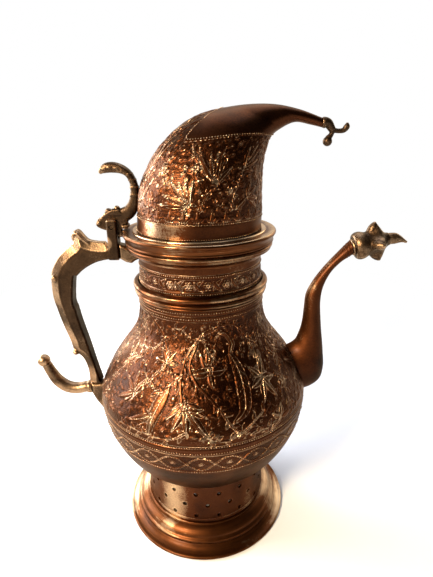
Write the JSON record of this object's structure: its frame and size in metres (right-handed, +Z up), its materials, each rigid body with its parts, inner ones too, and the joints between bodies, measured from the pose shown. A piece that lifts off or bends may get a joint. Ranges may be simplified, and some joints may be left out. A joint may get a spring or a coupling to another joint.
{
  "type": "coffee pot",
  "caption": "Raised copper coffee pot with a pierced foot, pear-shaped chased belly, swan-neck spout, cast brass handle and a hinged horn-shaped lid with a thumb lever.",
  "frame": {"origin": "on the table under the middle of the pot's outer box; the axis of the belly, neck and foot stands 7.9 mm from it towards the handle", "axes": "+Z up along the pot's axis, +X towards the spout, -X towards the handle, +Y to the left seen from the handle looking at the spout"},
  "size_m": [0.2454, 0.1392, 0.2814],
  "materials": {
    "chased_copper": "raised and chased copper, satin with a brown patina",
    "polished_copper": "turned copper mouldings, polished",
    "cast_brass": "sand-cast and filed brass, satin with an olive patina"
  },
  "bodies": {
    "pot": {"foot_base": "polished_copper", "foot_drum": "chased_copper", "belly_bowl": "chased_copper", "belly_shoulder": "chased_copper", "neck_tube": "chased_copper", "neck_ring": "polished_copper", "mouth_rim": "polished_copper", "handle": "cast_brass", "hinge_pin": "cast_brass", "neck_bracket": "cast_brass", "handle_lug": "cast_brass", "handle_tail": "cast_brass", "spout_tube": "chased_copper", "spout_bud": "cast_brass", "spout_beak": "cast_brass"},
    "lid": {"lid_flange": "polished_copper", "lid_bezel": "chased_copper", "lid_cowl": "chased_copper", "lid_finial": "cast_brass", "thumb_lever": "cast_brass"}
  },
  "joints": [
    {"name": "lid_hinge", "type": "hinge", "parent": "pot", "child": "lid", "pos_m": [-0.06125, 0, 0.2135], "axis": [0, -1, 0], "range_deg": [0, 62]}
  ]
}
